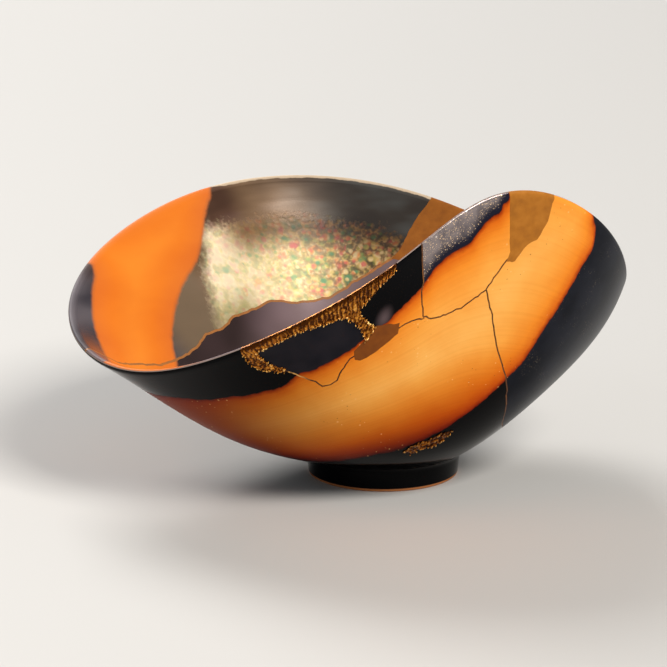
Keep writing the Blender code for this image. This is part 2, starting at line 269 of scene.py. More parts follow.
def sideways(points, towards):
    """Template steps to the left of these directions that measure 1 mm on the bent wall."""
    columns = []
    for axis in ((PROBE, 0), (0, PROBE)):
        ends = [np.column_stack([points + sign * np.array(axis), np.zeros(len(points))]) for sign in (1, -1)]
        columns.append((bend(ends[0]) - bend(ends[1])) / (2 * PROBE))
    jacobian = np.stack(columns, axis=2)
    metric = np.einsum("nij,nik->njk", jacobian, jacobian)
    left = np.column_stack([-towards[:, 1], towards[:, 0]])
    normal = np.linalg.solve(metric, left[:, :, None])[:, :, 0]
    return normal / np.sqrt(np.einsum("ni,nij,nj->n", normal, metric, normal))[:, None]


def moved(points, distance, closed):
    """A template line moved to its left by a real distance, with its corners kept sharp."""
    ahead = np.roll(points, -1, axis=0) - points
    behind = points - np.roll(points, 1, axis=0)
    if not closed:
        ahead[-1] = behind[-1]
        behind[0] = ahead[0]
    after = sideways(points, ahead)
    before = sideways(points, behind)
    middle = after + before
    length = np.linalg.norm(middle, axis=1) / 2 / np.sqrt(
        np.linalg.norm(after, axis=1) * np.linalg.norm(before, axis=1)
    )
    return points + distance * middle / 2 / np.clip(length, SHARPEST_CORNER, 1)[:, None] ** 2


def ribbon(crack, width):
    """The outline of a crack opened to this width."""
    line = wandering(polar(crack), False)
    return np.concatenate([moved(line, width / 2, False), moved(line, -width / 2, False)[::-1]])


def grown(outline, distance):
    """A closed outline grown outwards, or shrunk by a negative distance."""
    loop = wandering(polar(outline), True)
    x, y = loop.T
    anticlockwise = (x * np.roll(y, -1) - y * np.roll(x, -1)).sum() > 0
    return moved(loop, -distance if anticlockwise else distance, True)


def cutter(outline, high=CUTTER_HEIGHT):
    """An upright block with this outline on the template, from well below the bowl up to this height."""
    bm = bmesh.new()
    base = bm.faces.new([bm.verts.new((x * MM, y * MM, -CUTTER_HEIGHT * MM)) for x, y in outline])
    risen = bmesh.ops.extrude_face_region(bm, geom=[base])["geom"]
    lifted = [v for v in risen if isinstance(v, bmesh.types.BMVert)]
    bmesh.ops.translate(bm, verts=lifted, vec=(0, 0, (high + CUTTER_HEIGHT) * MM))
    bmesh.ops.recalc_face_normals(bm, faces=bm.faces)
    return mesh_object("cutter", bm)


def combined(obj, block, operation):
    """The object's mesh after one Boolean with the block, which is used up."""
    step = obj.modifiers.new(operation.title(), "BOOLEAN")
    step.operation = operation
    step.object = block
    step.solver = "EXACT"
    evaluated = obj.evaluated_get(bpy.context.evaluated_depsgraph_get())
    mesh = bpy.data.meshes.new_from_object(evaluated)
    obj.modifiers.remove(step)
    obj.data = mesh
    bpy.data.objects.remove(block, do_unlink=True)


def keep_inside(obj, outline, distance=0.0, high=CUTTER_HEIGHT):
    """Keeps what lies within an outline, grown by this distance, and below this height."""
    combined(obj, cutter(grown(outline, distance), high), "INTERSECT")


def cut_out(obj, outline, high=CUTTER_HEIGHT):
    combined(obj, cutter(grown(outline, 0.0), high), "DIFFERENCE")


def copy_of(obj):
    twin = obj.copy()
    twin.data = obj.data.copy()
    bpy.context.scene.collection.objects.link(twin)
    return twin


def island_at(obj, place):
    """The loose part of the mesh that lies under a template point."""
    target = polar([place])[0] * MM
    bm = bmesh.new()
    bm.from_mesh(obj.data)
    nearest = min(bm.verts, key=lambda v: math.hypot(v.co.x - target[0], v.co.y - target[1]))
    kept = {nearest}
    front = [nearest]
    while front:
        for edge in front.pop().link_edges:
            for v in edge.verts:
                if v not in kept:
                    kept.add(v)
                    front.append(v)
    bmesh.ops.delete(bm, geom=[v for v in bm.verts if v not in kept], context="VERTS")
    return mesh_object("island", bm)


broken = copy_of(whole)
for _, width, cracks in NETWORKS:
    for crack in cracks:
        combined(broken, cutter(ribbon(crack, width + 2 * LINE_GAP)), "DIFFERENCE")
for outline in LOST:
    cut_out(broken, outline)

# The glazes.
# Dipped over each other before the break: black over the foot and rim, an orange band that sweeps round
# the wall, blue-black on the right, and a metallic lustre inside that crystallised where it pooled.
ORANGE_OUTSIDE = (
    (166, 108), (172, 98), (181, 91), (192, 86), (203.5, 83.4), (210.5, 84.4), (216.5, 83.8), (221.5, 81.8),
    (228, 81.2), (232, 79.8), (237, 79.3), (242.5, 78.8), (247, 81.5), (249.5, 80.9), (254.5, 80.9),
    (258, 81.6), (261, 81.8), (263.5, 83), (269, 83.8), (274.5, 85.7), (280, 87.7), (283.5, 90.2),
    (288.5, 90.9), (294, 90.9), (297, 93.3), (300, 95.2), (302.5, 95.8), (303, 97.6), (304.5, 98.8),
    (306, 108), (331, 108), (332, 99.4), (333.5, 97.5), (334.5, 94.5), (334, 90.9), (332, 86), (329, 77.6),
    (324.5, 68), (320.5, 59.6), (315, 53.7), (309, 49), (297.5, 43.2), (281.5, 39.1), (277, 38.1),
    (266, 37.9), (254.5, 37.1), (234.5, 36.6), (218, 37.5), (204, 41), (190, 48), (176, 57), (162, 67),
    (150, 77), (141, 87), (135, 97), (131, 108),
)
LUSTRE_OUTSIDE = (
    (277, 86.5), (281, 88.3), (283.5, 90.2), (288.5, 90.9), (294, 90.9), (297, 93.3), (300, 95.2),
    (302.5, 95.8), (303, 97.6), (304.5, 98.8), (306, 108), (290, 112), (274, 108),
)
ORANGE_INSIDE = (
    (166, 108), (167.5, 98.8), (175, 95), (183, 92.8), (192.5, 92), (202, 96.5), (208, 108), (226, 108),
    (223, 94), (217, 82), (208, 72), (198, 65.5), (187, 62.5), (180, 63), (173.5, 65.2), (167.5, 69.2),
    (158.5, 74), (150.5, 78), (142, 81.6), (137, 86.4), (132.5, 92.4), (128, 98.8), (127, 108),
)
# Where the crystal lustre pooled, and where its painted sparkle highlight is drawn.
SPARKLE = (
    (135.5, 90), (128, 87.9), (120, 87.3), (110, 87), (100.5, 86), (92.5, 86), (85, 84.5), (80, 76),
    (90, 66), (105, 60), (125, 61), (141, 60), (149.5, 62.8), (147, 68.4), (144.5, 73.6), (142, 79.2),
    (138.5, 84),
)
OUTLINE_STEPS = 5
INNER_SHARE = 0.5
INNER_RELIEF = 0.22
SHARP_ANGLE = 35.0
SPECK_SPACING = 3.0
SPECK_SMALLEST = 0.1
SPECK_SPREAD = 0.14
RING_DRIFT = 2.5


def flowing(outline):
    """A closed outline as a smooth curve through its points, the way glaze edges run."""
    loop = polar(outline)
    before, after, beyond = (np.roll(loop, shift, axis=0) for shift in (1, -1, -2))
    rounds = []
    for t in np.arange(OUTLINE_STEPS) / OUTLINE_STEPS:
        rounds.append(
            0.5 * (2 * loop + (after - before) * t + (2 * before - 5 * loop + 4 * after - beyond) * t * t
                   + (3 * loop - before - 3 * after + beyond) * t ** 3)
        )
    return np.stack(rounds, axis=1).reshape(-1, 2)


def depth_in(outline, flat):
    """How far inside a closed outline each template point lies, in millimetres; negative outside it."""
    loop = flowing(outline)
    x, y = flat[:, 0], flat[:, 1]
    away = np.full(len(flat), np.inf)
    inside = np.zeros(len(flat), bool)
    for start, end in zip(loop, np.roll(loop, -1, axis=0)):
        run = end - start
        share = np.clip(((x - start[0]) * run[0] + (y - start[1]) * run[1]) / (run @ run), 0, 1)
        away = np.minimum(away, np.hypot(x - start[0] - share * run[0], y - start[1] - share * run[1]))
        if run[1]:
            crossing = (y > start[1]) != (y > end[1])
            inside ^= crossing & (x < start[0] + run[0] * (y - start[1]) / run[1])
    return np.where(inside, away, -away)


def add_mark(mesh, name, values):
    """Stores one number for each point of the mesh, for the glazes to read."""
    mark = mesh.attributes.new(name, "FLOAT", "POINT")
    mark.data.foreach_set("value", np.asarray(values, np.float32))


def add(tree, kind, feeds=None, **settings):
    """A shader node with these settings, its inputs fed by plain values or by other nodes."""
    made = tree.nodes.new("ShaderNode" + kind)
    for key, value in settings.items():
        setattr(made, key, value)
    for key, value in (feeds or {}).items():
        if isinstance(value, bpy.types.NodeSocket):
            tree.links.new(value, made.inputs[key])
        else:
            made.inputs[key].default_value = value
    return made


def mark(tree, name):
    return add(tree, "Attribute", attribute_name=name).outputs["Fac"]


def blend(tree, factor, first, second):
    """The first colour where the factor is 0, the second where it is 1."""
    return add(tree, "Mix", {0: factor, 6: first, 7: second}, data_type="RGBA").outputs[2]


def level(tree, factor, first, second):
    """The first number where the factor is 0, the second where it is 1."""
    return add(tree, "Mix", {0: factor, 2: first, 3: second}).outputs[0]


def ease(tree, value, low, high):
    """0 up to the low value, 1 from the high one, smooth between."""
    feeds = {"Value": value, "From Min": low, "From Max": high}
    return add(tree, "MapRange", feeds, interpolation_type="SMOOTHSTEP").outputs["Result"]


def calc(tree, operation, first, second=0.0):
    return add(tree, "Math", {0: first, 1: second}, operation=operation).outputs[0]


def scaled(tree, value, factor, offset=0.0):
    """The value times a factor, plus an offset."""
    return add(tree, "Math", {0: value, 1: factor, 2: offset}, operation="MULTIPLY_ADD").outputs[0]


def fade(tree, value, low, high):
    """1 up to the low value, 0 from the high one, smooth between."""
    return ease(tree, scaled(tree, value, -1.0), -high, -low)


def both(tree, first, second):
    """Where two masks overlap."""
    return calc(tree, "MULTIPLY", first, second)


def apart_from(tree, mask):
    """1 where the mask is 0, and 0 where it is 1."""
    return scaled(tree, mask, -1.0, 1.0)


def ramp(tree, value, stops):
    """Colours along a number from 0 to 1."""
    made = add(tree, "ValToRGB", {"Fac": value})
    elements = made.color_ramp.elements
    while len(elements) < len(stops):
        elements.new(1.0)
    for element, (place, colour) in zip(elements, stops):
        element.position = place
        element.color = (*colour, 1)
    return made.outputs["Color"]


def tinted(tree, colour, tint, amount):
    """The colour multiplied by a tint, by this much."""
    feeds = {0: amount, 6: colour, 7: tint}
    return add(tree, "Mix", feeds, data_type="RGBA", blend_type="MULTIPLY").outputs[2]


def template_place(tree):
    return add(tree, "Attribute", attribute_name="template").outputs["Vector"]


def cloud(tree, size_mm, detail=3.0, stretch=(1, 1, 1)):
    """Soft noise on the piece's own coordinates, with patches of about this size."""
    place = add(tree, "TexCoord").outputs["Object"]
    stretched = add(tree, "Mapping", {"Vector": place, "Scale": stretch}).outputs["Vector"]
    feeds = {"Vector": stretched, "Scale": 1 / (size_mm * MM), "Detail": detail}
    return add(tree, "TexNoise", feeds).outputs["Fac"]


def new_group(name, inputs, outputs):
    """An empty shader node group with these float inputs and its outputs."""
    group = bpy.data.node_groups.new(name, "ShaderNodeTree")
    for title, value in inputs:
        group.interface.new_socket(title, in_out="INPUT", socket_type="NodeSocketFloat").default_value = value
    for title in outputs:
        group.interface.new_socket(title, in_out="OUTPUT", socket_type="NodeSocketFloat")
    return group, group.nodes.new("NodeGroupInput").outputs, group.nodes.new("NodeGroupOutput").inputs


def speck_group():
    """Scattered round specks: their size in millimetres and what share of the places hold one."""
    group, given, result = new_group("specks", (("Size", 0.4), ("Share", 0.3)), ("Mask",))
    place = add(group, "TexCoord").outputs["Object"]
    scale = calc(group, "DIVIDE", 1 / MM, calc(group, "MULTIPLY", given["Size"], SPECK_SPACING))
    cells = add(group, "TexVoronoi", {"Vector": place, "Scale": scale}).outputs
    draw = add(group, "SeparateColor", {"Color": cells["Color"]}).outputs
    chosen = calc(group, "LESS_THAN", draw[0], given["Share"])
    radius = scaled(group, draw[1], SPECK_SPREAD, SPECK_SMALLEST)
    dot = calc(group, "LESS_THAN", cells["Distance"], radius)
    group.links.new(both(group, dot, chosen), result["Mask"])
    return group


def ring_group():
    """Throwing lines: rings about the foot, left by the fingers on the turning wall."""
    group, given, result = new_group("throwing lines", (("Spacing", 1.6),), ("Height",))
    flat = add(group, "VectorMath", {0: template_place(group), 1: (1, 1, 0)}, operation="MULTIPLY").outputs[0]
    reach = add(group, "VectorMath", {0: flat}, operation="LENGTH").outputs["Value"]
    drift = add(group, "TexNoise", {"Vector": flat, "Scale": 0.03, "Detail": 0.0}).outputs["Fac"]
    along = calc(group, "DIVIDE", scaled(group, drift, RING_DRIFT, reach), given["Spacing"])
    lines = add(group, "TexNoise", {"W": along, "Scale": 1.0, "Detail": 2.5}, noise_dimensions="1D")
    group.links.new(lines.outputs["Fac"], result["Height"])
    return group


SPECKS = speck_group()
THROWING_LINES = ring_group()


def specks(tree, size, share):
    return add(tree, "Group", {"Size": size, "Share": share}, node_tree=SPECKS).outputs["Mask"]


def throwing_lines(tree, spacing):
    return add(tree, "Group", {"Spacing": spacing}, node_tree=THROWING_LINES).outputs["Height"]


def new_material(name, plain):
    """A material and its shader, with plain values set on the shader's own sockets."""
    made = bpy.data.materials.new(name)
    made.use_nodes = True
    shader = made.node_tree.nodes["Principled BSDF"]
    for title, value in plain.items():
        shader.inputs[title].default_value = value
    return made, made.node_tree, shader


def bumped(tree, height, strength, depth):
    """The surface's direction where it follows this height, up to a depth in millimetres."""
    feeds = {"Height": height, "Strength": strength, "Distance": depth * MM}
    return add(tree, "Bump", feeds).outputs["Normal"]


def feed(tree, shader, feeds):
    """Leads what changes over the surface to the shader's sockets."""
    for title, value in feeds.items():
        tree.links.new(value, shader.inputs[title])


ORANGE_DEPTH = 24
ORANGE_EDGE_TO_HEART = (
    (0.0, (0.12, 0.014, 0.002)), (0.025, (0.42, 0.055, 0.003)), (0.08, (0.74, 0.16, 0.008)),
    (0.22, (0.88, 0.28, 0.024)), (0.5, (0.93, 0.39, 0.065)), (0.9, (0.95, 0.47, 0.11)),
)
LINE_TINT = ((0.32, (0.9, 0.83, 0.74)), (0.6, (1, 1, 1)))
PATCH_TINT = ((0.3, (0.93, 0.78, 0.6)), (0.6, (1, 1, 1)))
# Painted shade: a dark tint for the orange band at the left.
LEFT_PAINTED_SHADE = (0.24, 0.08, 0.02, 1)
# Darker towards the foot: partly browned glaze, partly painted shade.
BROWNED_AND_SHADED_FROM = 38
BROWNED_AND_SHADED_WIDTH = 26
BROWNED_AND_SHADED_TINT = (
    (0.0, (0.14, 0.05, 0.012)), (0.15, (0.34, 0.12, 0.03)), (0.35, (0.62, 0.32, 0.1)),
    (0.65, (0.83, 0.6, 0.32)), (0.85, (0.93, 0.8, 0.6)), (1.0, (1, 1, 1)),
)
PIT = (1.0, 0.6, 0.22, 1)
BURN = (0.3, 0.07, 0.01, 1)


def orange_outside(tree, edge, lines, patches, pits, pitted):
    """Red at the edge and amber at heart, with painted shade at the left, darker towards the foot from
    browned glaze and painted shade, and lightly pitted.
    """
    colour = ramp(tree, scaled(tree, edge, 1 / ORANGE_DEPTH), ORANGE_EDGE_TO_HEART)
    colour = tinted(tree, colour, ramp(tree, lines, LINE_TINT), 0.35)
    colour = tinted(tree, colour, ramp(tree, patches, PATCH_TINT), 0.6)
    compass = mark(tree, "compass")
    # Painted shade: the orange darkens at the left, and the tint fades out before the back.
    left_shade = calc(tree, "SUBTRACT", fade(tree, compass, 212.0, 262.0), fade(tree, compass, 165.0, 195.0))
    colour = tinted(tree, colour, LEFT_PAINTED_SHADE, left_shade)
    # Darker towards the foot, partly browned glaze and partly painted shade.
    height = scaled(tree, mark(tree, "reach"), 1 / BROWNED_AND_SHADED_WIDTH, -BROWNED_AND_SHADED_FROM / BROWNED_AND_SHADED_WIDTH)
    colour = tinted(tree, colour, ramp(tree, height, BROWNED_AND_SHADED_TINT), 1.0)
    colour = blend(tree, scaled(tree, pits, 0.5), colour, PIT)
    burns = both(tree, specks(tree, 0.3, 0.1), pitted)
    return blend(tree, scaled(tree, burns, 0.6), colour, BURN)


BLACK = (0.0015, 0.0014, 0.0018, 1)
NIGHT_DEEP = (0.004, 0.005, 0.009, 1)
NIGHT_BLUE = (0.011, 0.0125, 0.02, 1)
DUST = (0.42, 0.32, 0.2, 1)
# Painted soft highlights on the two small black shards: a faint sheen and a soft grey patch.
SOFT_SHEEN = (0.017, 0.015, 0.02, 1)
GREY_HIGHLIGHT = (0.1, 0.07, 0.075, 1)
HIGHLIGHT_CENTRE = (-1.4, -85.6, 0.0)
HIGHLIGHT_SPREAD = 4.5


def dark_outside(tree, dusk, patches):
    """Black, or blue-black with fine dust where the mark is 1; the small shards carry painted soft
    highlights.
    """
    night = blend(tree, ease(tree, patches, 0.3, 0.7), NIGHT_DEEP, NIGHT_BLUE)
    colour = blend(tree, dusk, BLACK, night)
    dusty = both(tree, dusk, ease(tree, cloud(tree, 7), 0.48, 0.7))
    dust = both(tree, specks(tree, 0.15, 0.6), dusty)
    colour = blend(tree, scaled(tree, dust, 0.6), colour, DUST)
    # Painted soft highlight: a faint cloudy sheen on the black.
    soft_sheened = both(tree, mark(tree, "soft_sheened"), ease(tree, cloud(tree, 7, 1.0), 0.1, 0.75))
    colour = blend(tree, soft_sheened, colour, SOFT_SHEEN)
    # Painted highlight: a soft grey patch round one point.
    ends = {0: template_place(tree), 1: HIGHLIGHT_CENTRE}
    away = add(tree, "VectorMath", ends, operation="DISTANCE").outputs["Value"]
    highlight_patch = both(tree, fade(tree, away, 0.0, HIGHLIGHT_SPREAD), mark(tree, "shows_highlight"))
    return blend(tree, highlight_patch, colour, GREY_HIGHLIGHT)


THIN_VEIL = (0.014, 0.014, 0.028, 1)
FULL_VEIL = (0.26, 0.22, 0.22, 1)
GILT = (1.0, 0.72, 0.45, 1)
GILT_SIZES = (0.15, 0.2, 0.26)
PALE_FLECK = (0.95, 0.85, 0.75, 1)


def lustre_veil(tree, sheen):
    """The metallic film on one front shard: thicker away from its edge, and full of gilt specks."""
    clotted = level(tree, ease(tree, cloud(tree, 5), 0.3, 0.6), 0.5, 1.0)
    mist = both(tree, ease(tree, sheen, 1.0, 5.0), clotted)
    colour = blend(tree, mist, THIN_VEIL, FULL_VEIL)
    gilded = both(tree, ease(tree, sheen, 0.8, 2.5), ease(tree, cloud(tree, 4, 1.0), 0.28, 0.46))
    for size in GILT_SIZES:
        gilt = both(tree, specks(tree, size, 0.95), gilded)
        colour = blend(tree, scaled(tree, gilt, 0.9), colour, GILT)
    return blend(tree, scaled(tree, specks(tree, 0.34, 0.08), 0.8), colour, PALE_FLECK)


BARE_CLAY = (0.42, 0.16, 0.06, 1)
# A pale line along the lip, partly thin glaze and partly a painted highlight.
LIP_LINE_AND_HIGHLIGHT = (0.45, 0.34, 0.29, 1)


def outside_glaze():
    made, tree, shader = new_material("outside glaze", {"IOR": 1.28, "Specular IOR Level": 0.12})
    lines = throwing_lines(tree, 0.8)
    patches = cloud(tree, 11)
    dusk = mark(tree, "dusk")
    edge = calc(tree, "ADD", mark(tree, "orange"), scaled(tree, cloud(tree, 2.4), 1.4, -0.7))
    is_orange = ease(tree, edge, -0.1, 0.3)
    pitted = ease(tree, cloud(tree, 16, 1.0), 0.46, 0.62)
    pits = both(tree, specks(tree, 0.4, 0.22), pitted)
    sheen = mark(tree, "lustre")
    lustred = both(tree, ease(tree, sheen, -0.2, 0.3), mark(tree, "lustred"))

    dark = blend(tree, lustred, dark_outside(tree, dusk, patches), lustre_veil(tree, sheen))
    colour = blend(tree, is_orange, dark, orange_outside(tree, edge, lines, patches, pits, pitted))
    foot = fade(tree, mark(tree, "up"), -6.8, -6.5)
    colour = blend(tree, foot, colour, BARE_CLAY)
    # The lip's pale line, partly thin glaze and partly a painted highlight on the rounded lip.
    lip = ease(tree, mark(tree, "reach"), 99.86, 99.96)
    colour = blend(tree, scaled(tree, lip, 0.8), colour, LIP_LINE_AND_HIGHLIGHT)

    rough = level(tree, is_orange, level(tree, dusk, 0.1, 0.3), 0.38)
    veiled = both(tree, lustred, apart_from(tree, is_orange))
    height = calc(tree, "ADD", scaled(tree, lines, 0.3), scaled(tree, cloud(tree, 0.7, 2.0), 0.14))
    height = calc(tree, "SUBTRACT", height, scaled(tree, pits, 0.8))
    feed(tree, shader, {
        "Base Color": colour,
        "Roughness": level(tree, foot, rough, 0.75),
        "Metallic": scaled(tree, veiled, 0.4),
        "Normal": bumped(tree, height, 0.3, 0.1),
    })
    return made


WARM_LUSTRE = ((0.3, (0.16, 0.09, 0.045)), (0.5, (0.23, 0.135, 0.07)), (0.7, (0.3, 0.19, 0.12)))
COOL_LUSTRE = ((0.3, (0.03, 0.024, 0.022)), (0.5, (0.05, 0.042, 0.036)), (0.7, (0.085, 0.085, 0.08)))
MAUVE_TINT = (0.5, 0.42, 0.5, 1)
OLIVE = (0.25, 0.18, 0.115, 1)
DIM_LOW = (0.05, 0.044, 0.055, 1)
DIM_HIGH = (0.15, 0.13, 0.145, 1)
EMBER = (0.36, 0.13, 0.05, 1)


def back_lustre(tree, streaks, compass, reach, near_orange):
    """The film on the back wall: cool at the right, warm and olive at the left with a mauve tint along its
    top, dim beyond the orange.
    """
    cool = ramp(tree, streaks, COOL_LUSTRE)
    warm = ramp(tree, streaks, WARM_LUSTRE)
    colour = blend(tree, ease(tree, compass, 96.0, 130.0), cool, warm)
    # A darker mauve tint at the upper left.
    upper_left_mauve = both(tree, ease(tree, compass, 120.0, 127.0), ease(tree, reach, 86.0, 91.0))
    colour = tinted(tree, colour, MAUVE_TINT, upper_left_mauve)
    olive = both(tree, ease(tree, compass, 141.0, 149.0), apart_from(tree, upper_left_mauve))
    colour = blend(tree, scaled(tree, olive, 0.8), colour, OLIVE)
    dim = blend(tree, ease(tree, streaks, 0.3, 0.7), DIM_LOW, DIM_HIGH)
    flush = both(tree, ease(tree, compass, 189.0, 199.0), ease(tree, near_orange, -8.0, 0.0))
    dim = blend(tree, flush, dim, EMBER)
    return blend(tree, ease(tree, compass, 160.0, 176.0), colour, dim)


MAUVE_LOW = (0.15, 0.1, 0.1, 1)
MAUVE_HIGH = (0.24, 0.165, 0.18, 1)
# Painted shade for the mauve at the left.
MAUVE_PAINTED_SHADE = (0.17, 0.14, 0.13, 1)
MAUVE_GLOW = (0.42, 0.14, 0.045, 1)


def floor_mauve(tree, compass, near_orange):
    """The film on the floor and the front wall: clouded mauve, with painted shade at the left, glowing near
    the orange.
    """
    cloudy = ease(tree, cloud(tree, 18, 1.0), 0.25, 0.7)
    colour = blend(tree, cloudy, MAUVE_LOW, MAUVE_HIGH)
    across = add(tree, "SeparateXYZ", {"Vector": template_place(tree)}).outputs
    # Painted shade: the mauve darkens towards the left.
    dark = both(tree, fade(tree, across["X"], -50.0, -24.0), ease(tree, across["Y"], -60.0, 0.0))
    colour = tinted(tree, colour, MAUVE_PAINTED_SHADE, dark)
    glow = both(tree, ease(tree, near_orange, -9.0, -1.0), ease(tree, compass, 200.0, 222.0))
    return blend(tree, scaled(tree, glow, 0.7), colour, MAUVE_GLOW)


RAINBOW = (
    (0.1, (0.1, 0.36, 0.18)), (0.28, (0.42, 0.48, 0.13)), (0.44, (0.92, 0.68, 0.22)),
    (0.56, (1.0, 0.85, 0.5)), (0.7, (0.96, 0.4, 0.12)), (0.86, (0.74, 0.15, 0.15)),
)
GRAIN_TINT = ((0.38, (0.1, 0.075, 0.055)), (0.52, (0.34, 0.28, 0.22)), (0.66, (0.8, 0.75, 0.7)))
# Painted highlight colours for the crystals at the left, and painted shade tints for the rest of the pool.
HIGHLIGHT_GOLD = (0.95, 0.76, 0.42, 1)
HIGHLIGHT_CREAM = (1.0, 0.9, 0.68, 1)
RIGHT_PAINTED_SHADE = (0.5, 0.42, 0.33, 1)
TOP_PAINTED_SHADE = (0.22, 0.15, 0.09, 1)
LOWER_LEFT_PAINTED_SHADE = (0.5, 0.5, 0.4, 1)
CRYSTALS = ((3.4, 0.85), (2.6, 0.85), (1.9, 0.8))


def crystals_with_painted_highlight(tree, compass, reach, grain, left):
    """The pooled lustre's colours and the smallest crystals' height: round crystals of three sizes, in every
    colour of the film, their bright dots partly painted glints, with a painted highlight of pale gold and
    cream at the left and painted shade at the right, at the top and at the lower left."""
    place = add(tree, "TexCoord").outputs["Object"]
    zone = cloud(tree, 3.6, 1.0)
    # Painted highlight: the crystals turn pale gold towards the left.
    painted_glare = ease(tree, compass, 84.0, 132.0)
    colour = ramp(tree, scaled(tree, zone, 1.5, -0.28), RAINBOW)
    colour = tinted(tree, colour, ramp(tree, grain, GRAIN_TINT), level(tree, painted_glare, 1.0, 0.6))
    colour = blend(tree, scaled(tree, painted_glare, 0.5), colour, HIGHLIGHT_GOLD)
    # Round crystals, whose bright dots stand partly for painted glints.
    for size, share in CRYSTALS:
        cells = add(tree, "TexVoronoi", {"Vector": place, "Scale": 1 / (size * MM)}).outputs
        draw = add(tree, "SeparateColor", {"Color": cells["Color"]}).outputs
        hue = calc(tree, "ADD", scaled(tree, zone, 1.4, -0.7), scaled(tree, draw[0], 0.85, 0.08))
        lit = ease(tree, draw[1], 1 - share, 1.3 - share)
        dot = both(tree, fade(tree, cells["Distance"], 0.2, 0.5), lit)
        strength = both(tree, dot, level(tree, painted_glare, 0.85, 0.62))
        colour = blend(tree, strength, colour, ramp(tree, hue, RAINBOW))
    # Painted shade: darker towards the right.
    right_shade = scaled(tree, ease(tree, compass, 92.0, 116.0), -0.8, 0.8)
    colour = tinted(tree, colour, RIGHT_PAINTED_SHADE, right_shade)
    # Painted highlight: a cream streak at the left.
    glow = both(tree, ease(tree, compass, 108.0, 138.0), level(tree, ease(tree, zone, 0.4, 0.6), 0.5, 1.0))
    colour = blend(tree, scaled(tree, glow, 0.6), colour, HIGHLIGHT_CREAM)
    # Painted shade towards the top, and at the lower left, where the painted highlight fades.
    high = both(tree, ease(tree, reach, 74.0, 85.0), apart_from(tree, left))
    colour = tinted(tree, colour, TOP_PAINTED_SHADE, high)
    low = both(tree, left, fade(tree, reach, 64.0, 74.0))
    return tinted(tree, colour, LOWER_LEFT_PAINTED_SHADE, low), cells["Distance"]


def crystal_and_highlight_pool(tree, grain, left, on_back):
    """Where the crystals and their painted sparkle highlight lie on the back wall, with a frayed edge that is
    softer at the left.
    """
    fray = calc(tree, "ADD", scaled(tree, grain, 7.0, -3.5), scaled(tree, cloud(tree, 3), 5.0, -2.5))
    fray = both(tree, fray, level(tree, left, 1.0, 0.5))
    depth = calc(tree, "ADD", fray, mark(tree, "sparkle"))
    return both(tree, ease(tree, depth, level(tree, left, -1.8, -2.5), level(tree, left, 2.4, 5.0)), on_back)


INNER_ORANGE_DEPTH = 16
INNER_ORANGE = (
    (0.0, (0.42, 0.12, 0.03)), (0.1, (0.7, 0.165, 0.014)), (0.45, (0.77, 0.19, 0.008)),
    (0.85, (0.82, 0.235, 0.014)),
)
STREAK_TINT = ((0.3, (0.93, 0.84, 0.8)), (0.6, (1, 1, 1)))
# A cream line along the inner lip, partly pale glaze and partly a painted highlight.
LIP_CREAM_AND_HIGHLIGHT = (0.64, 0.5, 0.35, 1)


def inside_glaze():
    made, tree, shader = new_material("inside glaze", {"IOR": 1.4})
    streaks = cloud(tree, 12, 2.0, (0.5, 0.5, 1.6))
    grain = cloud(tree, 1.3, 1.0)
    compass, reach, below, near_orange = (mark(tree, n) for n in ("compass", "reach", "below", "orange"))
    left = ease(tree, compass, 124.0, 135.0)

    lustre = back_lustre(tree, streaks, compass, reach, near_orange)
    ground = blend(tree, below, lustre, floor_mauve(tree, compass, near_orange))
    crystals, facets = crystals_with_painted_highlight(tree, compass, reach, grain, left)
    sparkling = crystal_and_highlight_pool(tree, grain, left, apart_from(tree, below))
    colour = blend(tree, sparkling, ground, crystals)

    edge = calc(tree, "ADD", near_orange, scaled(tree, cloud(tree, 3), 1.0, -0.4))
    is_orange = ease(tree, edge, -0.3, 0.9)
    orange = ramp(tree, scaled(tree, edge, 1 / INNER_ORANGE_DEPTH), INNER_ORANGE)
    orange = tinted(tree, orange, ramp(tree, streaks, STREAK_TINT), 0.8)
    colour = blend(tree, is_orange, colour, orange)

    # The inner lip's cream line, partly pale glaze and partly a painted highlight.
    lip_edge = calc(tree, "ADD", reach, scaled(tree, cloud(tree, 2.5, 2.0), 0.7, -0.35))
    beyond = calc(tree, "SUBTRACT", ease(tree, compass, 124.0, 131.0), ease(tree, compass, 25.0, 60.0))
    lip_edge = calc(tree, "ADD", lip_edge, scaled(tree, beyond, -1.25, -1.25))
    lip = both(tree, ease(tree, lip_edge, 98.8, 99.15), level(tree, is_orange, 0.9, 0.15))
    colour = blend(tree, lip, colour, LIP_CREAM_AND_HIGHLIGHT)

    rough = level(tree, is_orange, level(tree, sparkling, 0.26, 0.4), 0.38)
    metal = level(tree, is_orange, level(tree, sparkling, level(tree, below, 0.4, 0.1), 0.1), 0.0)
    facets = both(tree, facets, sparkling)
    height = calc(tree, "ADD", scaled(tree, throwing_lines(tree, 2.6), 0.2), scaled(tree, facets, 0.5))
    feed(tree, shader, {
        "Base Color": colour,
        "Roughness": level(tree, ease(tree, reach, 97.8, 98.8), rough, 0.6),
        "Metallic": metal,
        "Normal": bumped(tree, height, 0.4, 0.15),
    })
    return made


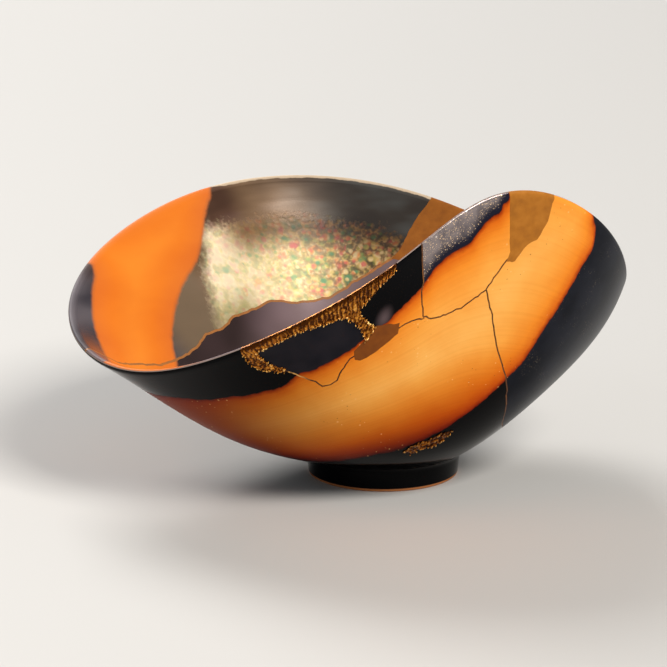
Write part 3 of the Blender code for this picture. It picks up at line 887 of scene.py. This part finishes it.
def shaped(obj, name, materials, marks, relief=None):
    """Bends a flat piece over the form, gives its two sides their materials, and fixes it to the bowl."""
    mesh = obj.data
    flat = np.array([v.co[:] for v in mesh.vertices]) / MM
    raised = flat if relief is None else relief(flat)
    placed = bend(raised) * MM + (FOOT_X, FOOT_Y, 0.0)
    compass, reach = compass_and_reach(flat)
    inner = flat[:, 2] > INNER_SHARE * wall_thickness(reach)
    mesh.vertices.foreach_set("co", placed.ravel().astype(np.float32))
    mesh.materials.clear()
    for material in materials:
        mesh.materials.append(material)
    if len(materials) > 1:
        sides = [int(inner[list(face.vertices)].mean() > INNER_SHARE) for face in mesh.polygons]
        mesh.polygons.foreach_set("material_index", sides)
    template = mesh.attributes.new("template", "FLOAT_VECTOR", "POINT")
    template.data.foreach_set("vector", flat.ravel().astype(np.float32))
    add_mark(mesh, "reach", reach)
    add_mark(mesh, "up", flat[:, 2])
    add_mark(mesh, "compass", compass % 360)
    add_mark(mesh, "orange", np.where(inner, depth_in(ORANGE_INSIDE, flat), depth_in(ORANGE_OUTSIDE, flat)))
    add_mark(mesh, "relief", np.where(inner, INNER_RELIEF, np.clip(-raised[:, 2], 0, None)))
    add_mark(mesh, "sparkle", depth_in(SPARKLE, flat))
    add_mark(mesh, "lustre", depth_in(LUSTRE_OUTSIDE, flat))
    for title, value in marks.items():
        add_mark(mesh, title, np.full(len(flat), value))
    mesh.shade_smooth()
    mesh.set_sharp_from_angle(angle=math.radians(SHARP_ANGLE))
    mesh.update()
    obj.name = name
    mesh.name = name
    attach(obj, "root")


OUTSIDE = outside_glaze()
INSIDE = inside_glaze()

# The shards.
# Six pieces of the one bowl, each with the glazes that lay on it. The body holds the foot, and a flake that
# came off just above the foot leaves a shallow chip in it.
SHARDS = (
    ("bowl_body", (250, 50), "body_glaze", {"dusk": 0.0, "below": 1.0}),
    ("shard_back", (150, 85), "lustre_glaze", {"dusk": 0.6, "below": 0.0}),
    ("shard_right", (350, 70), "body_glaze", {"dusk": 1.0, "below": 1.0}),
    ("shard_rim_left", (252, 85), "black_glaze", {"dusk": 0.7, "below": 1.0, "soft_sheened": 1.0}),
    ("shard_rim_middle", (273, 90), "black_glaze", {"dusk": 0.05, "below": 1.0, "shows_highlight": 1.0}),
    ("shard_rim_right", (295, 88), "lustre_glaze", {"dusk": 0.6, "below": 1.0, "lustred": 1.0}),
)
for node, place, slot, marks in SHARDS:
    shard = island_at(broken, place)
    if node == "bowl_body":
        cut_out(shard, CHIP_FOOT, high=CHIP_DEPTH)
    shaped(shard, "glazed_" + node, (OUTSIDE, INSIDE), marks)
    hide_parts(node)
bpy.data.objects.remove(broken, do_unlink=True)

# The lacquer fills.
# Where clay was lost for good, urushi lacquer thickened with fine clay was built up, rubbed flush and left
# matt ochre: at the right of the rim, in a wedge between the front shards, and at the back of the rim.
FILL_SHRINK = -0.02
FILLS = (
    ("lacquer_fill_rim", FILL_RIM, 0.1),
    ("lacquer_fill_wedge", FILL_WEDGE, 0.9),
    ("lacquer_fill_back", FILL_BACK, 0.6),
)
OCHRE_TONES = ((0.3, (0.36, 0.125, 0.01)), (0.5, (0.42, 0.15, 0.012)), (0.72, (0.47, 0.175, 0.018)))
OCHRE_DUSK = (0.42, 0.27, 0.07, 1)


def ochre_lacquer():
    made, tree, shader = new_material("ochre lacquer", {"Specular IOR Level": 0.2})
    mottle = cloud(tree, 2.5)
    feed(tree, shader, {
        "Base Color": tinted(tree, ramp(tree, mottle, OCHRE_TONES), OCHRE_DUSK, mark(tree, "dusk")),
        "Roughness": level(tree, mottle, 0.5, 0.62),
        "Normal": bumped(tree, cloud(tree, 0.5), 0.4, 0.08),
    })
    return made


OCHRE = ochre_lacquer()
for node, outline, dusk in FILLS:
    fill = copy_of(whole)
    keep_inside(fill, outline, FILL_SHRINK)
    if outline is FILL_WEDGE:
        cut_out(fill, GOLD_RIM)
    shaped(fill, "ochre_" + node, (OCHRE,), {"dusk": dusk})
    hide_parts(node)

# The gold.
# A lost stretch of the rim was filled and then dusted with coarse gold powder over wet lacquer, which dried
# in ridges across the rim and in beads along its edges. A flake above the foot was filled the same way.
GRAIN = 0.26
REFINE_PASSES = 3
RIDGE_PITCH = 1.5
RIDGES_FROM = 91.0
RIDGES_FULL = 95.0
RIDGE_LOW = 0.03
RIDGE_HIGH = 0.37
RIDGE_EVEN = 0.75
RIDGE_UNEVEN = 0.6
COARSE_NOISE = (0.9, 9.0)
SWAY = 0.8
SWAY_NOISE = (0.7, 1.0)
LUMP_CONTRAST = 1.3
LUMP_NOISE = (1.3, 4.0)
GRIT = 0.17
GRIT_NOISE = (2.4, 5.0)
BEAD_SEED = 7
BEAD_SPREAD = 0.4
BEAD_SMALL = 0.1
BEAD_LARGE = 0.3
BEAD_SUNK = 0.3
MENDS = (
    ("gold_rim_mend", "gold_fill_rim", GOLD_RIM, CUTTER_HEIGHT, 380, 0.0),
    ("gold_foot_mend", "gold_fill_foot", CHIP_FOOT, CHIP_DEPTH, 60, 0.8),
)
GOLD_TONES = (
    (0.1, (0.07, 0.019, 0.003)), (0.32, (0.3, 0.095, 0.012)), (0.58, (0.64, 0.25, 0.03)),
    (0.85, (0.97, 0.48, 0.085)), (1.0, (1.0, 0.66, 0.24)),
)
GOLD_DUSK = (0.4, 0.3, 0.25, 1)


def refined(obj, longest):
    """Splits the outer face's edges, in a few passes, where they are longer than this in millimetres."""
    middle = INNER_SHARE * RIM_THICKNESS * MM
    bm = bmesh.new()
    bm.from_mesh(obj.data)
    bmesh.ops.triangulate(bm, faces=bm.faces)
    for _ in range(REFINE_PASSES):
        edges = [
            edge for edge in bm.edges
            if edge.calc_length() > longest * MM and max(v.co.z for v in edge.verts) < middle
        ]
        bmesh.ops.subdivide_edges(bm, edges=edges, cuts=1)
        bmesh.ops.triangulate(bm, faces=bm.faces)
    bm.to_mesh(obj.data)
    bm.free()


def clamped(share):
    return min(1.0, max(0.0, share))


def gold_relief(flat):
    """Pushes the gold's outer face out in ridges that cross the rim, with a granular surface."""
    raised = flat.copy()
    compass, reach = compass_and_reach(flat)
    along = np.radians(compass % 360) * LIP_REACH
    for k in np.flatnonzero(flat[:, 2] < INNER_SHARE * RIM_THICKNESS):
        sway = SWAY * noise_at(flat[k], SWAY_NOISE)
        ridge = 0.5 + 0.5 * math.cos(math.tau * (along[k] + sway) / RIDGE_PITCH)
        lump = clamped(0.5 + LUMP_CONTRAST * noise_at(flat[k], LUMP_NOISE))
        ridged = clamped((reach[k] - RIDGES_FROM) / (RIDGES_FULL - RIDGES_FROM))
        uneven = RIDGE_EVEN + RIDGE_UNEVEN * noise_at(flat[k], COARSE_NOISE)
        wave = lump + ridged * (ridge - lump)
        grit = GRIT * noise_at(flat[k], GRIT_NOISE)
        push = RIDGE_LOW + (RIDGE_HIGH - RIDGE_LOW) * wave * uneven + grit
        round_lip = clamped((reach[k] - LIP_REACH + LIP_ROUND) / LIP_ROUND)
        raised[k, :2] *= 1 + round_lip * push / reach[k]
        raised[k, 2] -= (1 - 0.5 * round_lip) * push
    return raised


def add_beads(obj, outline, count):
    """Beads of gold that gathered along the mend's edges, half sunk in it."""
    draw = np.random.default_rng(BEAD_SEED)
    loop = wandering(polar(outline), True)
    loop = loop[np.hypot(loop[:, 0], loop[:, 1]) < LIP_REACH - LIP_ROUND]
    bm = bmesh.new()
    bm.from_mesh(obj.data)
    for _ in range(count):
        x, y = loop[draw.integers(len(loop))] + draw.uniform(-BEAD_SPREAD, BEAD_SPREAD, 2)
        size = draw.uniform(BEAD_SMALL, BEAD_LARGE)
        place = Matrix.Translation((x * MM, y * MM, -BEAD_SUNK * size * MM))
        bmesh.ops.create_icosphere(bm, subdivisions=2, radius=size * MM, matrix=place)
    bm.to_mesh(obj.data)
    bm.free()


def gold():
    made, tree, shader = new_material("gold powder", {"Metallic": 1.0})
    grit = cloud(tree, 0.4, 2.0)
    high = calc(tree, "ADD", scaled(tree, mark(tree, "relief"), 2.0), scaled(tree, grit, 0.9, -0.45))
    high = calc(tree, "ADD", high, scaled(tree, cloud(tree, 2.2, 1.0), 1.0, -0.52))
    feed(tree, shader, {
        "Base Color": tinted(tree, ramp(tree, high, GOLD_TONES), GOLD_DUSK, mark(tree, "dusk")),
        "Roughness": level(tree, grit, 0.42, 0.2),
        "Normal": bumped(tree, grit, 0.4, 0.08),
    })
    return made


GOLD = gold()
for name, node, outline, depth, beads, dusk in MENDS:
    mend = copy_of(whole)
    keep_inside(mend, outline, high=depth)
    refined(mend, GRAIN)
    add_beads(mend, outline, beads)
    shaped(mend, name, (GOLD,), {"dusk": dusk}, gold_relief)
    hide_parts(node)

# The lacquer lines.
# Brown urushi glues the shards together and shows as a hairline along every crack, on both sides of the wall.
LINE_TONES = ((0.35, (0.045, 0.013, 0.003)), (0.55, (0.11, 0.035, 0.007)), (0.75, (0.3, 0.11, 0.018)))
STAINED = (0.42, 0.17, 0.05, 1)
GILDED = (0.8, 0.42, 0.11, 1)
LINE_MARKS = {
    "lacquer_joint_back": {"dusk": 1.0},
    "lacquer_joint_right": {"dusk": 0.1},
    "lacquer_joint_left": {"dusk": 0.0, "gilded": 1.0},
}


def brown_lacquer():
    made, tree, shader = new_material("brown lacquer", {"Specular IOR Level": 0.2})
    tone = cloud(tree, 1.8)
    colour = ramp(tree, tone, LINE_TONES)
    colour = blend(tree, scaled(tree, mark(tree, "dusk"), 0.7), colour, STAINED)
    start = both(tree, fade(tree, mark(tree, "compass"), 246.5, 250.0), mark(tree, "gilded"))
    gilded = both(tree, start, ease(tree, tone, 0.35, 0.5))
    feed(tree, shader, {
        "Base Color": blend(tree, gilded, colour, GILDED),
        "Roughness": level(tree, tone, 0.3, 0.5),
    })
    return made


BROWN = brown_lacquer()
for node, width, cracks in NETWORKS:
    network = cutter(ribbon(cracks[0], width))
    for crack in cracks[1:]:
        combined(network, cutter(ribbon(crack, width)), "UNION")
    line = copy_of(whole)
    combined(line, network, "INTERSECT")
    for outline in LOST:
        cut_out(line, outline)
    shaped(line, "brown_" + node, (BROWN,), LINE_MARKS[node])
    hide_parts(node)
bpy.data.objects.remove(whole, do_unlink=True)

# The studio.
# A pale floor without an edge, soft light from large lamps, and the camera where the picture was taken from.
FLOOR_SIDE = 8.0
FLOOR_COLOUR = (0.56, 0.555, 0.545, 1)
PHOTO_SIDE = 667
FOCAL_PIXELS = 2752
FOOT_PIXEL = (383, 470)
PITCH = math.radians(14.0)
DISTANCE = 0.8
SENSOR = 36.0
NEAREST = 0.01
LAMP_AIM = Vector((0, 0, 0.04))
LAMPS = (
    ("key lamp", (1.6, -1.75, 2.4), 1.3, 124, (1.0, 0.95, 0.88)),
    ("fill lamp", (-2.0, -1.3, 1.5), 1.8, 8, (0.95, 0.97, 1.0)),
    ("back lamp", (-0.8, 2.2, 2.0), 1.4, 68, (1.0, 0.97, 0.93)),
)
ROOM_COLOUR = (0.9, 0.92, 0.95, 1)
ROOM_LIGHT = 0.2

bm = bmesh.new()
bmesh.ops.create_grid(bm, x_segments=1, y_segments=1, size=FLOOR_SIDE / 2)
floor = mesh_object("floor", bm)
floor.data.materials.append(new_material("pale floor", {"Base Color": FLOOR_COLOUR, "Roughness": 0.6})[0])

forward = Vector((0, math.cos(PITCH), -math.sin(PITCH)))
up = Vector((0, math.sin(PITCH), math.cos(PITCH)))
right = Vector((1, 0, 0))
metres_per_pixel = DISTANCE / FOCAL_PIXELS
camera = bpy.data.objects.new("camera", bpy.data.cameras.new("camera"))
camera.data.sensor_width = SENSOR
camera.data.lens = SENSOR * FOCAL_PIXELS / PHOTO_SIDE
camera.data.clip_start = NEAREST
camera.location = (
    Vector((FOOT_X, FOOT_Y, 0)) - forward * DISTANCE
    - right * (FOOT_PIXEL[0] - PHOTO_SIDE / 2) * metres_per_pixel
    + up * (FOOT_PIXEL[1] - PHOTO_SIDE / 2) * metres_per_pixel
)
camera.rotation_euler = (math.pi / 2 - PITCH, 0, 0)
bpy.context.scene.collection.objects.link(camera)
bpy.context.scene.camera = camera

for name, place, side, watts, colour in LAMPS:
    light = bpy.data.lights.new(name, "AREA")
    light.size = side
    light.energy = watts
    light.color = colour
    lamp = bpy.data.objects.new(name, light)
    lamp.location = place
    lamp.rotation_euler = (LAMP_AIM - Vector(place)).to_track_quat("-Z", "Y").to_euler()
    bpy.context.scene.collection.objects.link(lamp)

world = bpy.data.worlds.new("studio")
world.use_nodes = True
world.node_tree.nodes["Background"].inputs["Color"].default_value = ROOM_COLOUR
world.node_tree.nodes["Background"].inputs["Strength"].default_value = ROOM_LIGHT
bpy.context.scene.world = world
bpy.context.scene.view_settings.view_transform = "Standard"
